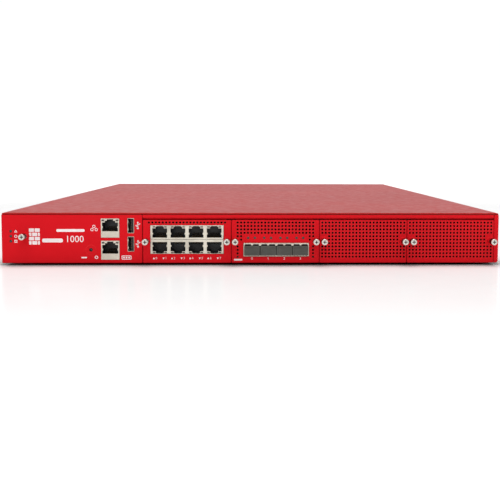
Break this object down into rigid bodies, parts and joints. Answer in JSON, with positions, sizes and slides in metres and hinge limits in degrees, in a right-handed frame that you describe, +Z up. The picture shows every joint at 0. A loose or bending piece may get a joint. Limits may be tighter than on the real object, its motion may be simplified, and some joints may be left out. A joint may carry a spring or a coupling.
{
  "type": "rack firewall appliance",
  "caption": "Flat rack-mount firewall appliance: painted steel case, network jacks, slide-in port modules held by thumbscrews, blank bay panels, lift-off cover, pull-out power supplies.",
  "frame": {"origin": "bottom centre of the bounding box, on the surface the feet stand on", "axes": "+X to the right as seen from the front, +Y from the front face to the rear, +Z up"},
  "size_m": [0.438, 0.615, 0.046],
  "materials": {
    "red_paint": "satin red enamel",
    "nickel_plate": "bright nickel plate",
    "shield_steel": "tin-plated",
    "zinc_steel": "zinc-plated",
    "grey_rubber": "matt",
    "foot_rubber": "matt",
    "circuit_board": "solder mask over glass fibre",
    "bare_aluminium": "plain",
    "light_pipe": "clear, unlit",
    "latch_plastic": "satin",
    "ribbon_plastic": "satin",
    "black_plastic": "fine grain"
  },
  "bodies": {
    "chassis": {"chassis_tray": "red_paint", "control_panel": "red_paint", "bay_lintel": "red_paint", "bay_end_post": "red_paint", "bay_guide_frame": "zinc_steel", "rear_panel": "red_paint", "foot_front_left": "foot_rubber", "foot_rear_left": "foot_rubber", "foot_front_right": "foot_rubber", "foot_rear_right": "foot_rubber", "management_jack": "shield_steel", "console_jack": "shield_steel", "usb_port_upper": "shield_steel", "usb_port_lower": "shield_steel", "status_light_pipe": "light_pipe", "control_board": "circuit_board", "riser_board": "circuit_board", "motherboard": "circuit_board", "cpu_heatsink_left": "bare_aluminium", "cpu_heatsink_right": "bare_aluminium", "memory_module_left": "circuit_board", "memory_module_right": "circuit_board", "storage_drive": "bare_aluminium", "control_ribbon": "ribbon_plastic", "power_board": "circuit_board", "fan_tray": "black_plastic"},
    "cover": {"top_cover": "red_paint"},
    "reset_button": {"reset_button": "black_plastic"},
    "panel_screw": {"thumbscrew_panel": "nickel_plate"},
    "copper_module": {"copper_faceplate": "red_paint", "copper_board": "circuit_board", "copper_jack_block": "shield_steel"},
    "fibre_module": {"fibre_faceplate": "red_paint", "fibre_board": "circuit_board", "fibre_cage": "shield_steel"},
    "blank_left_module": {"blank_panel_left": "red_paint"},
    "blank_right_module": {"blank_panel_right": "red_paint"},
    "power_switch": {"power_switch": "black_plastic"},
    "screw_copper_l": {"thumbscrew_copper_l": "nickel_plate"},
    "screw_copper_r": {"thumbscrew_copper_r": "nickel_plate"},
    "screw_fibre_l": {"thumbscrew_fibre_l": "nickel_plate"},
    "screw_fibre_r": {"thumbscrew_fibre_r": "nickel_plate"},
    "screw_blank_left_l": {"thumbscrew_blank_left_l": "nickel_plate"},
    "screw_blank_left_r": {"thumbscrew_blank_left_r": "nickel_plate"},
    "screw_blank_right_l": {"thumbscrew_blank_right_l": "nickel_plate"},
    "screw_blank_right_r": {"thumbscrew_blank_right_r": "nickel_plate"},
    "dust_plug_1": {"dust_plug_1": "grey_rubber"},
    "dust_plug_2": {"dust_plug_2": "grey_rubber"},
    "dust_plug_3": {"dust_plug_3": "grey_rubber"},
    "dust_plug_4": {"dust_plug_4": "grey_rubber"},
    "psu_outer": {"psu_case_outer": "zinc_steel"},
    "psu_latch_outer": {"psu_latch_outer": "latch_plastic"},
    "psu_fan_outer": {"psu_fan_rotor_outer": "black_plastic"},
    "psu_inner": {"psu_case_inner": "zinc_steel"},
    "psu_latch_inner": {"psu_latch_inner": "latch_plastic"},
    "psu_fan_inner": {"psu_fan_rotor_inner": "black_plastic"},
    "fan_1": {"fan_rotor_1": "black_plastic"},
    "fan_2": {"fan_rotor_2": "black_plastic"},
    "fan_3": {"fan_rotor_3": "black_plastic"},
    "fan_4": {"fan_rotor_4": "black_plastic"}
  },
  "joints": [
    {"name": "cover_lift", "type": "slide", "parent": "chassis", "child": "cover", "axis": [0, 0, 1], "range_m": [0, 0.12]},
    {"name": "reset_press", "type": "slide", "parent": "chassis", "child": "reset_button", "axis": [0, 1, 0], "range_m": [0, 0.001], "stiffness_N_per_m": 300},
    {"name": "panel_screw_turn", "type": "hinge", "parent": "chassis", "child": "panel_screw", "pos_m": [-0.198, -0.301, 0.0259], "axis": [0, -1, 0], "range_deg": [0, 1800]},
    {"name": "power_switch_rock", "type": "hinge", "parent": "chassis", "child": "power_switch", "pos_m": [0.152, 0.281, 0.024], "axis": [1, 0, 0], "range_deg": [-24, 0]},
    {"name": "copper_module_slide", "type": "slide", "parent": "chassis", "child": "copper_module", "axis": [0, -1, 0], "range_m": [0, 0.22]},
    {"name": "screw_copper_l_turn", "type": "hinge", "parent": "copper_module", "child": "screw_copper_l", "pos_m": [-0.0927, -0.301, 0.0215], "axis": [0, -1, 0], "range_deg": [0, 1800]},
    {"name": "screw_copper_r_turn", "type": "hinge", "parent": "copper_module", "child": "screw_copper_r", "pos_m": [-0.0221, -0.301, 0.0215], "axis": [0, -1, 0], "range_deg": [0, 1800]},
    {"name": "fibre_module_slide", "type": "slide", "parent": "chassis", "child": "fibre_module", "axis": [0, -1, 0], "range_m": [0, 0.22]},
    {"name": "screw_fibre_l_turn", "type": "hinge", "parent": "fibre_module", "child": "screw_fibre_l", "pos_m": [-0.0149, -0.301, 0.0215], "axis": [0, -1, 0], "range_deg": [0, 1800]},
    {"name": "screw_fibre_r_turn", "type": "hinge", "parent": "fibre_module", "child": "screw_fibre_r", "pos_m": [0.0557, -0.301, 0.0215], "axis": [0, -1, 0], "range_deg": [0, 1800]},
    {"name": "blank_left_module_slide", "type": "slide", "parent": "chassis", "child": "blank_left_module", "axis": [0, -1, 0], "range_m": [0, 0.22]},
    {"name": "screw_blank_left_l_turn", "type": "hinge", "parent": "blank_left_module", "child": "screw_blank_left_l", "pos_m": [0.0629, -0.301, 0.0215], "axis": [0, -1, 0], "range_deg": [0, 1800]},
    {"name": "screw_blank_left_r_turn", "type": "hinge", "parent": "blank_left_module", "child": "screw_blank_left_r", "pos_m": [0.1335, -0.301, 0.0215], "axis": [0, -1, 0], "range_deg": [0, 1800]},
    {"name": "blank_right_module_slide", "type": "slide", "parent": "chassis", "child": "blank_right_module", "axis": [0, -1, 0], "range_m": [0, 0.22]},
    {"name": "screw_blank_right_l_turn", "type": "hinge", "parent": "blank_right_module", "child": "screw_blank_right_l", "pos_m": [0.1407, -0.301, 0.0215], "axis": [0, -1, 0], "range_deg": [0, 1800]},
    {"name": "screw_blank_right_r_turn", "type": "hinge", "parent": "blank_right_module", "child": "screw_blank_right_r", "pos_m": [0.2113, -0.301, 0.0215], "axis": [0, -1, 0], "range_deg": [0, 1800]},
    {"name": "dust_plug_1_pull", "type": "slide", "parent": "fibre_module", "child": "dust_plug_1", "axis": [0, -1, 0], "range_m": [0, 0.04]},
    {"name": "dust_plug_2_pull", "type": "slide", "parent": "fibre_module", "child": "dust_plug_2", "axis": [0, -1, 0], "range_m": [0, 0.04]},
    {"name": "dust_plug_3_pull", "type": "slide", "parent": "fibre_module", "child": "dust_plug_3", "axis": [0, -1, 0], "range_m": [0, 0.04]},
    {"name": "dust_plug_4_pull", "type": "slide", "parent": "fibre_module", "child": "dust_plug_4", "axis": [0, -1, 0], "range_m": [0, 0.04]},
    {"name": "psu_outer_slide", "type": "slide", "parent": "chassis", "child": "psu_outer", "axis": [0, 1, 0], "range_m": [0, 0.2]},
    {"name": "psu_latch_outer_press", "type": "slide", "parent": "psu_outer", "child": "psu_latch_outer", "axis": [-1, 0, 0], "range_m": [0, 0.0018], "stiffness_N_per_m": 800},
    {"name": "psu_fan_outer_spin", "type": "hinge", "parent": "psu_outer", "child": "psu_fan_outer", "pos_m": [-0.1637, 0.2655, 0.02375], "axis": [0, 1, 0], "continuous": true},
    {"name": "psu_inner_slide", "type": "slide", "parent": "chassis", "child": "psu_inner", "axis": [0, 1, 0], "range_m": [0, 0.2]},
    {"name": "psu_latch_inner_press", "type": "slide", "parent": "psu_inner", "child": "psu_latch_inner", "axis": [-1, 0, 0], "range_m": [0, 0.0018], "stiffness_N_per_m": 800},
    {"name": "psu_fan_inner_spin", "type": "hinge", "parent": "psu_inner", "child": "psu_fan_inner", "pos_m": [-0.0871, 0.2655, 0.02375], "axis": [0, 1, 0], "continuous": true},
    {"name": "fan_1_spin", "type": "hinge", "parent": "chassis", "child": "fan_1", "pos_m": [-0.036, 0.2655, 0.0236], "axis": [0, 1, 0], "continuous": true},
    {"name": "fan_2_spin", "type": "hinge", "parent": "chassis", "child": "fan_2", "pos_m": [0.01, 0.2655, 0.0236], "axis": [0, 1, 0], "continuous": true},
    {"name": "fan_3_spin", "type": "hinge", "parent": "chassis", "child": "fan_3", "pos_m": [0.056, 0.2655, 0.0236], "axis": [0, 1, 0], "continuous": true},
    {"name": "fan_4_spin", "type": "hinge", "parent": "chassis", "child": "fan_4", "pos_m": [0.102, 0.2655, 0.0236], "axis": [0, 1, 0], "continuous": true}
  ]
}
